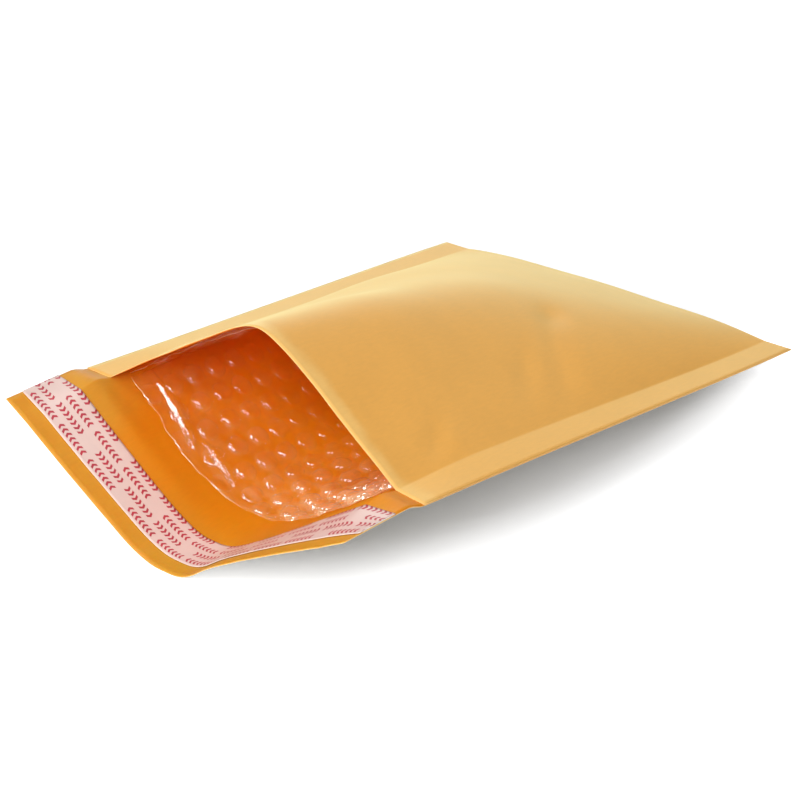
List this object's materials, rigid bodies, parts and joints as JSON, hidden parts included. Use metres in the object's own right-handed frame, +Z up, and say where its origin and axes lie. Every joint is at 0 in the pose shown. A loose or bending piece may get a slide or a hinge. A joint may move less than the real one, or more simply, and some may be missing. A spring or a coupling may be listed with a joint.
{
  "type": "padded envelope",
  "caption": "Kraft paper mailer lined with bubble film, lying on its back with the mouth open and the flap's release liner still on.",
  "frame": {"origin": "on the table, under the middle of the mailer's box", "axes": "+Y from the mouth to the folded end, +X across to the right seen from the mouth, +Z up from the table"},
  "size_m": [0.1898, 0.2842, 0.0827],
  "materials": {
    "kraft_paper": "smooth golden-brown kraft paper, slightly satin",
    "clear_film": "clear glossy bubble film",
    "adhesive": "clear amber pressure-sensitive glue",
    "release_paper": "pinkish white coated release paper with plain red marks"
  },
  "bodies": {
    "root": {"kraft_envelope": "kraft_paper", "bubble_liner": "clear_film", "adhesive_strip": "adhesive", "release_liner": "release_paper"}
  },
  "joints": []
}
